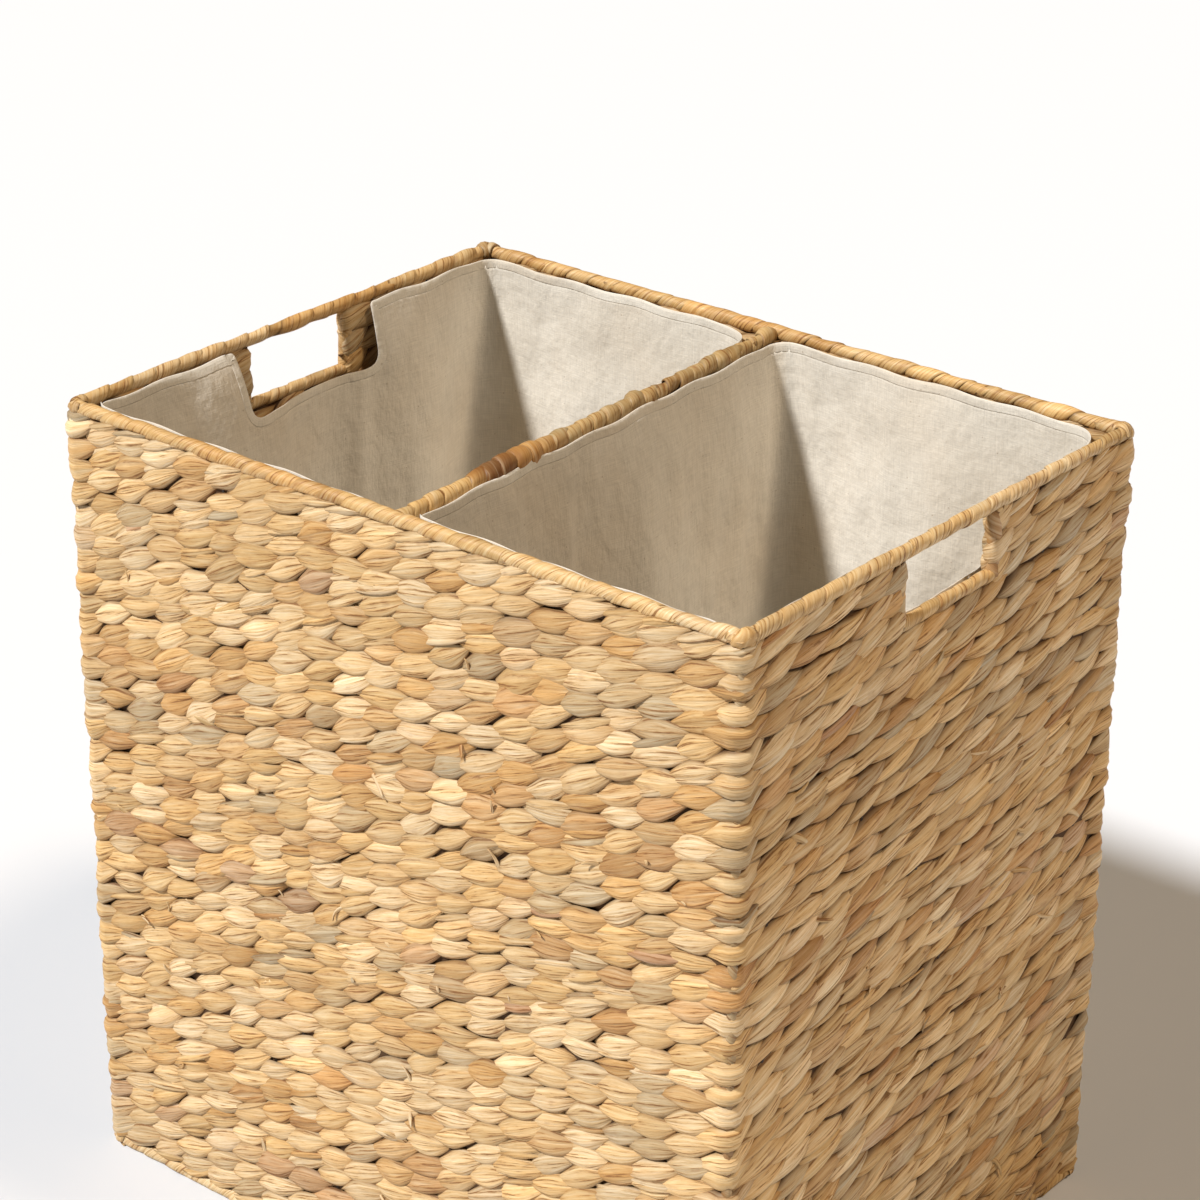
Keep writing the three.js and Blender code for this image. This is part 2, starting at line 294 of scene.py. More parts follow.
def stitch_patches(
        rng, s, z, tones, place, half_thickness, half_length=STITCH_HALF_LENGTH, tilt=STITCH_TILT,
        lean=1, columns=FLAT_SAMPLES, rows=13, width=1.0, lift=0.0, relief=1.0, bluntness=1.6):
    """Leaf-shaped stitches of pleated leaf, domed across and diving at both tips.

    s and z are their centres, and place(s, z, out) gives points in space. lean is 1 where a stitch
    rises with s and -1 where it falls. relief deepens the creases between stitches and their painted
    shade, and bluntness keeps a stitch wide for longer towards its tips. Returns the points, quads
    and values for add_mesh.
    """
    count = len(s)
    thin = half_thickness / HALF_THICKNESS

    def spread(size):
        return each(rng.normal(0, size, count).clip(-2 * size, 2 * size))

    along = np.linspace(-1, 1, columns)[None, :, None]
    across = np.sin(np.linspace(-1, 1, rows) * math.pi / 2)[None, None, :]
    phase = rng.uniform(0, TURN, (3, count))[:, :, None, None]
    half_length = half_length * (1 + spread(0.09))
    bumps = 0.06 * np.sin(4 * along + phase[0])
    half_height = width * STITCH_HALF_HEIGHT * (1 + spread(0.10) + bumps)
    tilt = lean * (tilt + spread(0.08))
    skewed = np.abs(along + spread(0.12) * across * (1 - along**2))
    taper = 0.06 + 0.94 * (1 - skewed.clip(0, 1) ** bluntness)
    bend = 1.0 * MM * spread(1.0) * (1 - along**2)
    height = across * half_height * taper + bend
    length = half_length * along
    out_s = each(s) + length * np.cos(tilt) - height * np.sin(tilt)
    out_z = each(z) + length * np.sin(tilt) + height * np.cos(tilt)

    share = (along + 1) / 2
    pleat_ends = rng.normal(0, 0.24 * MM, (2, count, 1, rows))
    pleats = pleat_ends[0] * (1 - share) + pleat_ends[1] * share
    fold = 0.6 * MM * spread(1.0) * np.tanh((across - spread(0.3) - spread(0.3) * along) / 0.15)
    lumps = 0.35 * MM * np.sin(2.6 * along + phase[1])
    lumps = lumps + 0.2 * MM * np.sin(5.3 * along + 2 * across + phase[2])
    top = half_thickness * 1.1 + spread(0.5 * MM) + lift
    dive = half_thickness * 0.95 * np.abs(along) ** 2.1
    rounding = 1 - np.sqrt(1 - np.abs(across) ** 2.4)
    dome = half_thickness * 0.72 * relief * width * (0.35 + 0.65 * taper) * rounding
    out = top - dive - dome + (pleats * (1 - 0.5 * along**4) + fold + lumps) * thin
    points = place(out_s, out_z, out).reshape(-1, 3)

    offset = each(rng.uniform(0, 40, count))
    streaks = rng.normal(1, 0.06, (count, 1, rows, 1))
    # painted shade, darker and warmer towards each stitch's tips; the streaks are the strand's own tone
    shade = streaks * (1 - PAINTED_TIP_SHADE * (0.85 * along**2)[..., None])
    # painted shade at the stitches' edges and tips, where they meet the creases; relief deepens it
    crease = np.clip(1 - relief * (0.6 * np.abs(across) ** 5 + 0.4 * np.abs(along) ** 5), 0.2, 1)
    values = strand_values(
        out_s.shape, length, across * width * STITCH_HALF_HEIGHT, offset, each(tones) * shade, crease)
    quads = patch_quads(count, columns, rows)
    return points, quads if lean > 0 else quads[:, ::-1], values


def joined(parts):
    """Several (points, quads, values) as one."""
    offset = 0
    all_quads = []
    for points, quads, _ in parts:
        all_quads.append(quads + offset)
        offset += len(points)
    points = np.concatenate([part[0] for part in parts])
    values = {key: np.concatenate([part[2][key] for part in parts]) for key in parts[0][2]}
    return points, np.concatenate(all_quads), values


# ---------------- walls

WALLS = ["front", "right", "back", "left"]
WALL_LOOP = Loop(rectangle(WALL_X, WALL_Y), WALL_CORNER_RADIUS)


def on_wall(s, z, out):
    """Points of a wall at distance s round it, height z, and `out` beyond the weave's middle."""
    total = WALL_LOOP.length
    hang = 1.1 * MM * wander(11, s, z, total, most=8, rise=3)
    edge = np.clip(np.minimum(z - WEAVE_LOW[2], WEAVE_HIGH[2] - z) / (60 * MM), 0, 1)
    sway = 1.3 * MM * wander(12, s, z, total, most=14, rise=6)
    bulge = 0.9 * MM * wander(13, s, z, total, most=10, rise=5)
    point, normal = WALL_LOOP.at(s + sway)
    corner = np.min([np.abs(s - mark) for mark in WALL_LOOP.corner_s], axis=0)
    crest = np.sign(out) * 1.8 * MM * np.exp(-((corner / (7 * MM)) ** 2))
    flat = point + normal * (out + bulge * edge + crest)[..., None]
    height = np.clip(z + hang * edge, LOWER_EDGE_Z + 2 * MM, RIM_Z - 2 * MM)
    return np.concatenate([flat, height[..., None]], -1)


def wall_bays(wall):
    """How many bays a wall has, and how wide they are."""
    bays = HANDLE_WALL_BAYS if wall % 2 else WIDE_WALL_BAYS
    return bays, (WALL_LOOP.corner_s[wall + 1] - WALL_LOOP.corner_s[wall]) / bays


def wall_columns(wall):
    """Distance of each column of stitches round the walls, from the wall's first corner on."""
    bays, bay = wall_bays(wall)
    return WALL_LOOP.corner_s[wall] + bay * np.arange(bays)


def stitch_centres(rng, wall, courses):
    """Centres of a wall's stitches in some courses, without those that the hand hole cuts away."""
    s, z = np.meshgrid(wall_columns(wall), WEAVE_LOW[2] + (courses + 0.5) * COURSE_PITCH)
    course, column = np.meshgrid(courses, np.arange(s.shape[1]), indexing="ij")
    kept = np.ones(s.shape, bool)
    if wall % 2:
        aside = np.abs(WALL_LOOP.at(s)[0][..., 1])
        kept = (aside > POST_Y + 10 * MM) | (z < BAR_Z)
        kept |= np.abs(WALL_LOOP.at(s)[0][..., 0]) < WALL_X - 1 * MM
    s = s + rng.normal(0, 1.4 * MM, s.shape)
    z = z + rng.normal(0, 0.6 * MM, z.shape)
    return s[kept], z[kept], course[kept], column[kept]


def add_wall_outside(wall):
    """Bands of stitches, as seen from outside. The short walls are woven with rounder strands."""
    name = WALLS[wall]
    short = wall % 2
    shape = {
        "half_length": STITCH_REACH * wall_bays(wall)[1],
        "tilt": HANDLE_WALL_TILT if short else STITCH_TILT,
        # a relief of 2 also doubles the painted shade in the creases
        "relief": 2.0 if short else 1.0,
        "bluntness": 1.65 if short else 1.6,
    }
    rng = np.random.default_rng(100 + wall)
    tones = strand_tones(rng, COURSES, WIDE_WALL_BAYS)
    for band, first in enumerate(range(0, COURSES, COURSES_PER_BAND)):
        courses = np.arange(first, first + COURSES_PER_BAND)
        s, z, course, column = stitch_centres(rng, wall, courses)
        stitches = [
            stitch_patches(
                rng, s[part], z[part], tones[course[part], column[part]], on_wall, HALF_THICKNESS,
                columns=samples, **shape)
            for part, samples in ((column == 0, CORNER_SAMPLES), (column > 0, FLAT_SAMPLES))]
        edge = np.select([course == 0, course == COURSES - 1], [-1, 1], 0)
        chosen = (rng.random(len(s)) < SLIVER_SHARE) | (edge != 0)
        aside = COURSE_PITCH * np.where(edge == 0, rng.choice([-0.34, 0.34], len(s)), 0.42 * edge)[chosen]
        slivers = stitch_patches(
            rng, s[chosen], z[chosen] + aside, pick_tones(rng, chosen.sum()) * 0.94, on_wall,
            HALF_THICKNESS, columns=13, rows=7, width=SLIVER_WIDTH, lift=-0.2 * MM, **shape)
        add_weave(name, f"{name}_weave_band_{band + 1}", *joined([*stitches, slivers]))


def add_wall_inside(wall):
    """The same courses as seen from inside, where the other strand of each pair shows."""
    name = WALLS[wall]
    rng = np.random.default_rng(200 + wall)
    tones = strand_tones(rng, COURSES, WIDE_WALL_BAYS) * INNER_SHADE
    s, z, course, column = stitch_centres(rng, wall, np.arange(COURSES))
    inner = column > 0

    def inwards(s, z, out):
        return on_wall(s, z, -INNER_REACH * out)

    add_weave(name, f"{name}_weave_inside", *stitch_patches(
        rng, s[inner], z[inner], tones[course, column][inner], inwards, HALF_THICKNESS,
        STITCH_REACH * wall_bays(wall)[1], lean=-1, columns=9, rows=6))


def round_post(side, end):
    """Places a stitch that turns back round a hand hole's post, from the outer face to the inner one."""
    radius = HALF_THICKNESS

    def place(s, z, out):
        angle = np.clip(s / radius, -math.pi / 2, math.pi / 2)
        past = np.abs(s - angle * radius)
        x = side * (WALL_X + np.sin(angle) * out)
        y = end * (POST_Y + past - np.cos(angle) * out)
        return np.stack([x, y, z], -1)

    return place


def add_post_turns():
    """At a hand hole each course turns back round the post, with a stitch on each face."""
    courses = WEAVE_LOW[2] + (np.arange(COURSES) + 0.5) * COURSE_PITCH
    z = courses[courses > BAR_Z]
    s = np.repeat([-11 * MM, 11 * MM], len(z))
    for (side, name), (end, post) in itertools.product(SIDES, ENDS):
        rng = np.random.default_rng(240 + 10 * side + end)
        add_weave(name, f"{name}_handle_{post}_post_turns", *stitch_patches(
            rng, s, np.tile(z, 2), pick_tones(rng, len(s)) * POST_SHADE, round_post(side, end),
            HALF_THICKNESS, lean=side * end))


def add_loose_ends(wall, count):
    """Short cut tips of strands that stand out of the creases."""
    name = WALLS[wall]
    rng = np.random.default_rng(260 + wall)
    start = WALL_LOOP.corner_s[wall]
    bays, bay = wall_bays(wall)
    along = np.linspace(0, 1, 6)[None, :, None]
    across = np.linspace(-1, 1, 4)[None, None, :]
    column = rng.integers(1, bays - 1, count) + 0.5
    course = rng.integers(1, COURSES - 4, count)
    s = each(start + column * bay + rng.normal(0, 3 * MM, count))
    z = each(WEAVE_LOW[2] + course * COURSE_PITCH + rng.normal(0, 2 * MM, count))
    angle = each(rng.choice([0.35, 1.0, -0.5, 2.6], count) + rng.normal(0, 0.3, count))
    length = each(rng.uniform(9, 20, count) * MM)
    half = each(rng.uniform(1.0, 3.0, count) * MM)
    narrow = 1 - 0.75 * along**3
    curl = each(rng.normal(0, 0.4, count)) * along
    reach = length * along
    wide = half * across * narrow
    out_s = s + reach * np.cos(angle + curl) - wide * np.sin(angle + curl)
    out_z = z + reach * np.sin(angle + curl) + wide * np.cos(angle + curl)
    rise = each(rng.uniform(1, 4, count) * MM)
    out = HALF_THICKNESS * 0.55 + (rise + 3 * MM) * along - 0.5 * MM * across**2
    points = on_wall(out_s, out_z, out).reshape(-1, 3)
    offset = each(rng.uniform(0, 40, count))
    # a crease of 0.9 lays a little painted shade on every loose end
    values = strand_values(out_s.shape, reach, wide, offset, each(pick_tones(rng, count)), 0.9)
    piece = add_weave(name, f"{name}_loose_ends", points, patch_quads(count, 6, 4), values)
    thicken = piece.modifiers.new("thickness", "SOLIDIFY")
    thicken.thickness = 0.4 * MM


def box_patch(low, high):
    """The six faces of a box, as points and quads."""
    points = np.array(list(itertools.product(*zip(low, high))))
    quads = np.array([
        (0, 1, 3, 2), (4, 6, 7, 5), (0, 4, 5, 1), (2, 3, 7, 6), (0, 2, 6, 4), (1, 5, 7, 3)])
    return points, quads


def add_wall_core(wall):
    """A wall's core, in three blocks round the hand hole if it has one."""
    name = WALLS[wall]
    half = CORE_HALF_THICKNESS
    side = -1 if name in ("front", "left") else 1
    low_z, high_z = WEAVE_LOW[2], WEAVE_HIGH[2]
    if wall % 2:
        gap_y = POST_Y + 4 * MM
        low_x, high_x = side * WALL_X - half, side * WALL_X + half
        blocks = [
            ((low_x, -WALL_Y, low_z), (high_x, WALL_Y, BAR_Z)),
            ((low_x, -WALL_Y, BAR_Z), (high_x, -gap_y, high_z)),
            ((low_x, gap_y, BAR_Z), (high_x, WALL_Y, high_z)),
        ]
    else:
        blocks = [((-WALL_X, side * WALL_Y - half, low_z), (WALL_X, side * WALL_Y + half, high_z))]
    points, quads, _ = joined([(*box_patch(low, high), {}) for low, high in blocks])
    add_core(name, points, quads)


# ---------------- bottom

BOTTOM_LOW, BOTTOM_HIGH = corners_of("bottom_weave")


def add_bottom():
    """Courses along X, woven like the walls but flatter, with a face below and a face above."""
    half = (BOTTOM_HIGH[2] - BOTTOM_LOW[2]) / 2
    middle = BOTTOM_LOW[2] + half
    courses = round((BOTTOM_HIGH[1] - BOTTOM_LOW[1]) / COURSE_PITCH)
    pitch = (BOTTOM_HIGH[1] - BOTTOM_LOW[1]) / courses
    bay = (BOTTOM_HIGH[0] - BOTTOM_LOW[0]) / WIDE_WALL_BAYS
    x, y = np.meshgrid(
        BOTTOM_LOW[0] + (np.arange(WIDE_WALL_BAYS) + 0.5) * bay,
        BOTTOM_LOW[1] + (np.arange(courses) + 0.5) * pitch)
    for name, facing in (("under", -1), ("upper", 1)):
        rng = np.random.default_rng(300 + facing)
        tones = strand_tones(rng, courses, WIDE_WALL_BAYS) * BOTTOM_SHADE

        def flat(s, z, out, facing=facing):
            s = np.clip(s, BOTTOM_LOW[0], BOTTOM_HIGH[0])
            z = np.clip(z, BOTTOM_LOW[1], BOTTOM_HIGH[1])
            return np.stack([s, z, np.maximum(middle + facing * out * BOTTOM_REACH, 0.3 * MM)], -1)

        points, quads, values = stitch_patches(
            rng, x.ravel(), y.ravel(), tones.reshape(-1, 3), flat, half, columns=9, rows=7)
        add_weave("bottom", f"bottom_weave_{name}", points, quads[:, ::-facing], values)
    thin = np.array([0, 0, half * 0.75])
    add_core("bottom", *box_patch(BOTTOM_LOW + thin, BOTTOM_HIGH - thin))


# ---------------- wrapped rods

EDGE_TURN = 23 * MM              # how far along its rod each strip moves in one turn
LASHING_TURN = 9 * MM
CORNER_POST_TURN = 12 * MM
DIVIDER_TURN = 15 * MM
BAR_TURN = 19 * MM
EDGE_TONE = (0.88, 0.86, 0.80)   # what each strip's colour is multiplied by
BAR_TONE = (0.84, 0.81, 0.74)
DIVIDER_TONE = (0.78, 0.73, 0.60)
CORNER_POST_TONE = 0.6
HANDLE_POST_TONE = 0.8


def wound_strip(
        rng, path, start, end, radius, pitch, lumpiness=0.5, tone_scale=1.0, variety=0.25, turn=1, knot=None):
    """A flat strip wound round a rod, each turn lying on the edge of the turn before.

    path(s) gives the rod's middle and two cross directions. variety is how much the colour changes
    from one turn to the next, and turn is the sense of winding. A knot is the middle and half-length
    of a brown swelling, measured along the rod.
    """
    steps_per_turn = 20
    turns = (end - start) / pitch
    steps = int(turns * steps_per_turn) + 1
    spin = np.linspace(0, turns, steps)
    width = pitch * 1.32
    share = np.array([0.0, 0.03, 0.12, 0.3, 0.5, 0.72, 0.9, 1.0])
    thick = 0.12 * radius
    lift = np.array([-0.6, 1.0, 1.25, 1.15, 0.9, 0.55, 0.15, -0.2]) * thick

    knots = np.arange(int(turns) + 3)
    wide = 1 + 0.10 * rng.normal(0, 1, len(knots))
    fat = lumpiness * 0.09 * radius * rng.normal(0, 1, len(knots))
    shade = rng.normal(1, 0.3 * variety, len(knots)).clip(0.7, 1.2)
    base = pick_tones(rng, len(knots))
    run = np.repeat(base[::6], 6, axis=0)[: len(knots)]
    base = variety * base + (1 - variety) * run

    def eased(values):
        """Per-turn values, changing quickly from one turn to the next."""
        index = np.minimum(spin.astype(int), len(knots) - 2)
        part = np.clip((spin - index) * 4, 0, 1)
        part = part if values.ndim == 1 else part[:, None]
        return values[index] * (1 - part) + values[index + 1] * part

    s = start + (spin[:, None] - 0.5) * pitch + share[None] * width * eased(wide)[:, None]
    s = s + 0.5 * MM * np.sin(spin * TURN * 0.37 + 1.3)[:, None]
    s = np.clip(s, start, end)
    angle = turn * spin * TURN
    swirl = 3 * angle[:, None] + share[None] * 5 + 2 * np.sin(spin)[:, None]
    lump = 0.035 * radius * lumpiness * np.sin(swirl)
    reach = radius * 0.93 + lift[None] + eased(fat)[:, None] * np.sin(math.pi * share)[None] + lump
    stain = np.ones(s.shape + (3,))
    if knot:
        swelling = np.exp(-(((s - knot[0]) / knot[1]) ** 4))
        reach = reach * (1 + 0.38 * swelling)
        brown = np.exp(-(((s - knot[0] + 0.5 * knot[1]) / (0.55 * knot[1])) ** 4))[..., None]
        stain = 1 - brown * np.array([0.55, 0.64, 0.68])
    centre, across, up = path(s)
    outward = each(np.cos(angle)) * across + each(np.sin(angle)) * up
    points = centre + outward * reach[..., None]
    points[..., 2] = np.maximum(points[..., 2], 0.2 * MM)

    along = (spin * TURN * radius)[:, None]
    offset = np.floor(spin)[:, None] * 0.05 + rng.uniform(0, 40)
    colours = stain * (eased(base * tone_scale) * eased(shade)[:, None])[:, None, :]
    # painted shade at each turn's edges, where it tucks under the next turn
    crease = np.array([0.3, 0.9, 1, 1, 1, 1, 0.8, 0.35])
    values = strand_values(s.shape, along, share * width, offset, colours, crease)
    quads = patch_quads(1, len(spin), len(share))
    return points.reshape(-1, 3), quads if turn > 0 else quads[:, ::-1], values


def straight(start, end):
    """A path along a straight line, measured from its start."""
    start = np.array(start, float)
    along = np.array(end, float) - start
    along /= np.linalg.norm(along)
    across = np.cross(along, (0, 0, 1)) if abs(along[2]) < 0.9 else np.array([1.0, 0, 0])
    across /= np.linalg.norm(across)
    up = np.cross(across, along)

    def path(s):
        middle = start + along * s[..., None]
        return middle, np.broadcast_to(across, middle.shape), np.broadcast_to(up, middle.shape)

    return path


EDGE_LOOP = Loop(rectangle(ROD_X, ROD_Y), 3 * MM)


def edge_path(height):
    """The path of a rod that runs round the walls at one height."""

    def path(s):
        point, normal = EDGE_LOOP.at(s)
        middle = np.concatenate([point, np.full(s.shape + (1,), height)], -1)
        across = np.concatenate([normal, np.zeros(s.shape + (1,))], -1)
        return middle, across, np.broadcast_to((0.0, 0.0, 1.0), middle.shape)

    return path


def add_wrap(name, parts, *nodes):
    points, quads, values = joined(parts)
    piece = add_mesh(name, points, quads, HYACINTH_STRIP, values)
    return place_on(piece, "basket", "hyacinth_wrap", *nodes)


def add_edge_wraps():
    """Wrapped rim and wrapped lower edge, a strip for each wall, meeting at the corners."""
    for edge, height, seed in (("rim_wrap", RIM_Z, 400), ("lower_edge_wrap", LOWER_EDGE_Z, 420)):
        for wall, name in enumerate(WALLS):
            rng = np.random.default_rng(seed + wall)
            start, end = EDGE_LOOP.corner_s[wall], EDGE_LOOP.corner_s[wall + 1]
            part = wound_strip(
                rng, edge_path(height), start - 3 * MM, end + 3 * MM, EDGE_RADIUS, EDGE_TURN,
                lumpiness=1.3, tone_scale=EDGE_TONE)
            lashing = wound_strip(
                rng, edge_path(height), start - 8 * MM, start + 9 * MM, EDGE_RADIUS * 1.12, LASHING_TURN,
                lumpiness=2.0, tone_scale=EDGE_TONE, variety=0.6)
            add_wrap(f"{name}_{edge}_strip", [part, lashing], f"{name}_{edge}")


def add_corner_sleeves():
    """A strip wound round each corner post, behind the stitches."""
    for (side, width), (end, depth) in itertools.product(SIDES, ENDS):
        rng = np.random.default_rng(480 + 10 * side + end)
        low, high = corners_of(f"{depth}_{width}_corner_post")
        x, y = ((low + high) / 2)[:2]
        path = straight((x, y, WEAVE_LOW[2]), (x, y, WEAVE_HIGH[2]))
        radius = (high[0] - low[0]) / 2 + 0.9 * MM
        part = wound_strip(
            rng, path, 0, WEAVE_HIGH[2] - WEAVE_LOW[2], radius, CORNER_POST_TURN, tone_scale=CORNER_POST_TONE)
        add_wrap(f"{depth}_{width}_post_strip", [part])


def divider_sides(panel):
    """Where the left liner ends and the right one starts along X, at their front or back panels."""
    return corners_of(f"left_liner_{panel}_panel")[1][0], corners_of(f"right_liner_{panel}_panel")[0][0]


DIVIDER_FRONT_X, DIVIDER_BACK_X = (sum(divider_sides(panel)) / 2 for panel in ("front", "back"))
DIVIDER_HALF_GAP = np.diff(divider_sides("front"))[0] / 2


def add_divider_wrap():
    low, high = corners_of("divider_wrap")
    height = (low[2] + high[2]) / 2
    radius = (high[2] - low[2]) / 2
    end_y = ROD_Y - EDGE_RADIUS * 0.6
    path = straight((DIVIDER_FRONT_X, -end_y, height), (DIVIDER_BACK_X, end_y, height))
    length = math.hypot(2 * end_y, DIVIDER_BACK_X - DIVIDER_FRONT_X)
    rng = np.random.default_rng(440)
    part = wound_strip(
        rng, path, 0, length, radius, DIVIDER_TURN, lumpiness=1.6, tone_scale=DIVIDER_TONE, variety=0.5,
        knot=(0.27 * length, 35 * MM))
    add_wrap("divider_wrap_strip", [part], "divider_wrap")


def add_handle_wraps():
    """Wrapped bar and posts round each hand hole."""
    low_z, high_z = BAR_Z, RIM_Z - 2 * MM
    for side, name in SIDES:
        rng = np.random.default_rng(460 + side)
        x = side * ROD_X
        bar = straight((x, BAR_LOW[1], BAR_Z), (x, BAR_HIGH[1], BAR_Z))
        part = wound_strip(
            rng, bar, 0, BAR_HIGH[1] - BAR_LOW[1], BAR_RADIUS, BAR_TURN, lumpiness=1.2, tone_scale=BAR_TONE)
        add_wrap(f"{name}_handle_bar_strip", [part], f"{name}_handle_bar_wrap")
        for end, post in ENDS:
            path = straight((x, end * POST_Y, low_z), (x, end * POST_Y, high_z))
            part = wound_strip(
                rng, path, 0, high_z - low_z, EDGE_RADIUS, COURSE_PITCH, lumpiness=1.5,
                tone_scale=HANDLE_POST_TONE, turn=end)
            add_wrap(f"{name}_handle_{post}_post_strip", [part], f"{name}_handle_{post}_post_wrap")


# ---------------- cloth liners

CLOTH_CELL = 5 * MM
HEM_WIDTH = 7 * MM
NOTCH_HALF_WIDTH = POST_Y + 17 * MM
NOTCH_CORNER_RADIUS = 12 * MM
OUTLINE_STEP = 3 * MM
SEWN_EVERY = 62 * MM             # the hem sags a little between these points
HEM_REACH = 55 * MM              # how far down the hem's outline carries
PANEL_INSET = 0.5 * MM
FOOT_RADIUS = 18 * MM            # of the rounding between wall and floor
FOOT_RINGS = 5
FLOOR_START = 0.998              # the cloth's coordinates change just outside this ring
FLOOR_RINGS = (FLOOR_START, *np.linspace(1, 0.05, 25)[1:])      # sizes, shrinking to the middle


class Liner:
    """A hanging bag. Its wall is measured by p, the distance round it, and height z.

    A bulge is a side, a share along it, a depth, and the drop over which it builds up. A crease is a
    side, a share and a height.
    """

    def __init__(self, name, side):
        self.side = side
        self.seed = 500 + side
        low, high = corners_of(f"{name}_outer_panel")
        _, floor_high = corners_of(f"{name}_bottom_panel")
        self.floor_z = floor_high[2] - 0.7 * MM
        self.top_z = RIM_Z + 0.5 * MM
        self.hole_side = 1 if side > 0 else 3
        outer = (high[0] - PANEL_INSET) if side > 0 else (low[0] + PANEL_INSET)
        front, back = low[1] + PANEL_INSET, high[1] - PANEL_INSET
        gap = side * (DIVIDER_HALF_GAP + PANEL_INSET)
        near, far = DIVIDER_FRONT_X + gap, DIVIDER_BACK_X + gap
        if side > 0:
            corners = [(near, front), (outer, front), (outer, back), (far, back)]
            slack_corners = corners[:3] + [(far + 17 * MM, back - 5 * MM)]
            top_radii = [8 * MM, 14 * MM, 32 * MM, 14 * MM]
            radii = [20 * MM, 20 * MM, 25 * MM, 22 * MM]
            self.bulges = [(3, 0.45, 13 * MM, 60 * MM), (2, 0.5, 4 * MM, 60 * MM)]
            self.creases = [(3, 0.62, 2.8 * MM), (2, 0.62, 1.6 * MM)]
            self.notch_z = BAR_Z - 3 * MM
        else:
            corners = [(outer, front), (near, front), (far, back), (outer, back)]
            slack_corners = corners[:3] + [(outer + 4 * MM, back - 2 * MM)]
            top_radii = [14 * MM, 8 * MM, 36 * MM, 12 * MM]
            radii = [20 * MM, 20 * MM, 25 * MM, 26 * MM]
            self.bulges = [
                (3, 0.26, 14 * MM, 60 * MM), (3, 0.72, 14 * MM, 40 * MM), (2, 0.4, 4 * MM, 60 * MM)]
            self.creases = [(3, 0.36, 3 * MM), (3, 0.58, 2 * MM), (3, 0.84, 2 * MM)]
            self.notch_z = BAR_Z + 2 * MM
        self.loop = Loop(slack_corners, radii)
        self.top_loop = Loop(corners, top_radii)

    def fold(self, p, z):
        """How far the cloth hangs inwards of the straight wall."""
        total = self.loop.length
        drop = np.maximum(self.top_z - z, 0)
        slack = 1 - np.exp(-drop / (45 * MM))
        soft = wander(self.seed, p, z, total, most=9, rise=2.5)
        gathers = 1 - np.hypot(wander(self.seed + 1, p, z, total, most=24, rise=1.5, waves=8), 0.18)
        inwards = slack * (5 * MM + 7 * MM * soft)
        inwards = inwards + 3.5 * MM * gathers.clip(0, 1) ** 2 * np.exp(-drop / (260 * MM)) * slack
        for side, share, deep, reach in self.bulges:
            hump = np.exp(-((self.distance_from(p, side, share) / (50 * MM)) ** 2))
            inwards = inwards + deep * hump * (1 - np.exp(-drop / reach))
        for side, share, high in self.creases:
            away = self.distance_from(p, side, share) - 0.06 * drop
            inwards = inwards + high * np.exp(-((away / (7 * MM)) ** 2)) * slack
        return np.maximum(inwards, 0)

    def distance_from(self, p, side, share):
        """Signed distance of p, the short way round, from a point that lies `share` along a side."""
        start, end = self.loop.corner_s[side], self.loop.corner_s[side + 1]
        total = self.loop.length
        return (p - start - (end - start) * share + total / 2) % total - total / 2

    def at(self, p, z, inwards=0.0):
        """Points of the wall. Its hem follows the top loop, and it hangs slacker lower down."""
        low, normal = self.loop.at(p)
        marks = (self.loop.corner_s, self.top_loop.corner_s)
        top, _ = self.top_loop.at(np.interp(np.mod(p, self.loop.length), *marks))
        share = np.exp(-((np.maximum(self.top_z - z, 0) / HEM_REACH) ** 1.5))[..., None]
        flat = low + (top - low) * share - normal * (self.fold(p, z) + inwards)[..., None]
        return np.concatenate([flat, z[..., None]], -1)

    def edge_z(self, p):
        """Height of the top edge: sewn up at intervals, and sagging a little between."""
        total = self.loop.length
        sags = round(total / SEWN_EVERY)
        scallop = np.sin(math.pi * sags * p / total) ** 2
        front = np.clip((self.loop.corner_s[1] - p) / (20 * MM), 0, 1) * 2.5 * MM
        return (self.top_z + front - 1.6 * MM * scallop
                - 0.9 * MM * (1 + wander(self.seed + 2, p, 0 * p, total, most=9)))

    def notch(self):
        """The cut-out for the hand hole: its two ends round the loop, and its lower edge."""
        start, end = self.loop.corner_s[self.hole_side], self.loop.corner_s[self.hole_side + 1]
        middle = (start + end) / 2
        return middle - NOTCH_HALF_WIDTH, middle + NOTCH_HALF_WIDTH, self.notch_z

    def outline(self):
        """The hemmed edge, closed, as points (p, z), with the cut-out's corners rounded."""
        left, right, low = self.notch()
        start, end = left - 8 * MM, right + 8 * MM
        before = np.arange(0, start, OUTLINE_STEP)
        after = np.arange(end, self.loop.length, OUTLINE_STEP)
        top_left, top_right = self.edge_z(np.array([left, right]))
        key = [
            (start, top_left), (left, top_left), (left, low),
            (right, low), (right, top_right), (end, top_right)]
        rounded = rounded_line(key, NOTCH_CORNER_RADIUS, OUTLINE_STEP)
        return np.concatenate([
            np.stack([before, self.edge_z(before)], -1), rounded, np.stack([after, self.edge_z(after)], -1)])


def is_inside(p, z, polygon):
    """Whether each point lies inside a closed polygon."""
    inside = np.zeros(p.shape, bool)
    for (p0, z0), (p1, z1) in zip(polygon, np.roll(polygon, -1, axis=0)):
        if z0 != z1:
            crosses = (z0 > z) != (z1 > z)
            inside ^= crosses & (p < p0 + (z - z0) / (z1 - z0) * (p1 - p0))
    return inside


